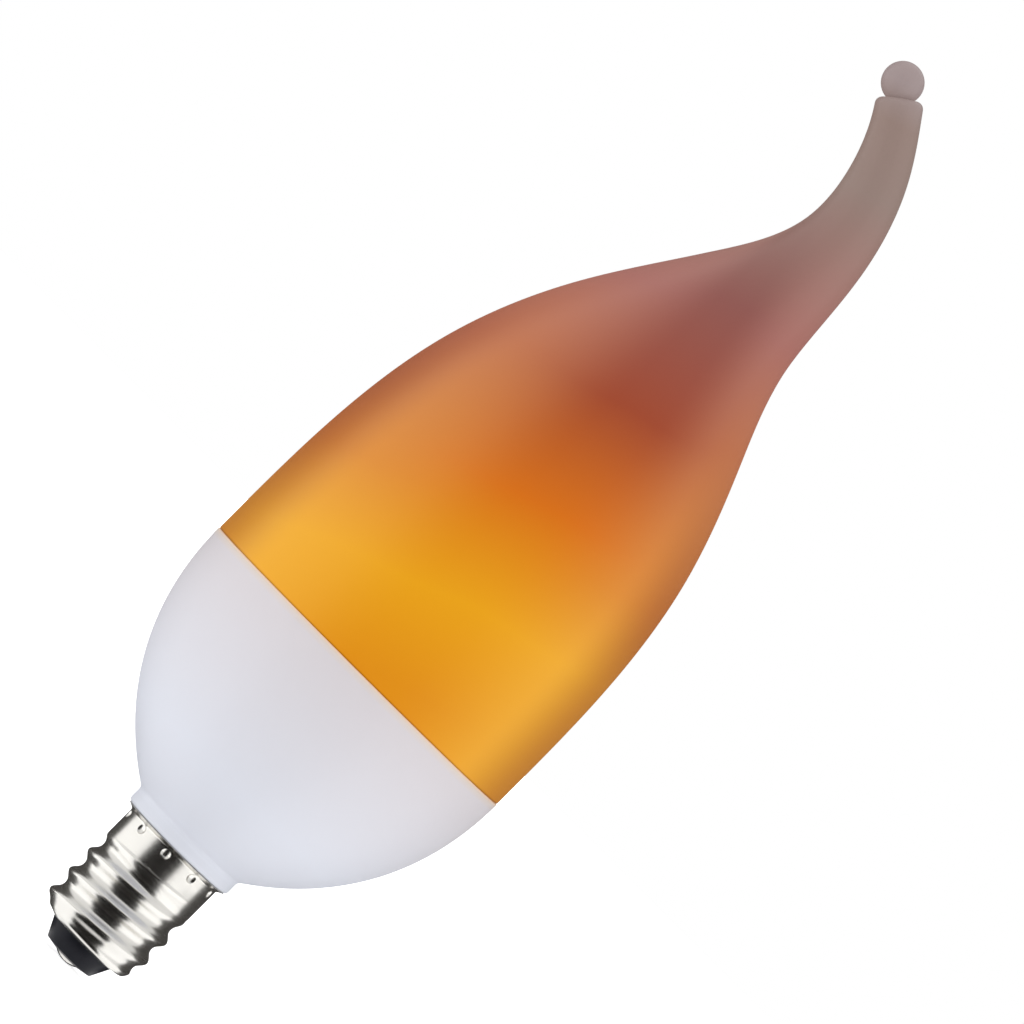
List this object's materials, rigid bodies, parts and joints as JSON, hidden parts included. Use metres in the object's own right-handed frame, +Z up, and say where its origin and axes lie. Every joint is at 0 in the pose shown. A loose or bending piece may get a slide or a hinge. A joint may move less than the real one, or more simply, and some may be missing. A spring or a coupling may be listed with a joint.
{
  "type": "candle bulb",
  "caption": "Flame-shaped candle bulb with a bent tip: frosted amber diffuser on a white bowl, with a small metal screw cap and centre contact.",
  "frame": {"origin": "lowest point of the centre contact, on the lamp's axis", "axes": "+Z up the lamp's axis from the cap to the tip; the bent tip lies in the XZ plane with its belly towards +X and its end towards -X"},
  "size_m": [0.037, 0.037, 0.1168],
  "materials": {
    "frosted_diffuser": "frosted satin, amber at the bowl and smoky mauve at the tip, lit from inside",
    "white_housing": "moulded satin, cool white",
    "nickel_plate": "bright nickel plate on pressed sheet",
    "black_insulator": "moulded satin black"
  },
  "bodies": {
    "root": {"diffuser": "frosted_diffuser", "housing": "white_housing", "screw_shell": "nickel_plate", "insulator": "black_insulator", "centre_contact": "nickel_plate"}
  },
  "joints": []
}
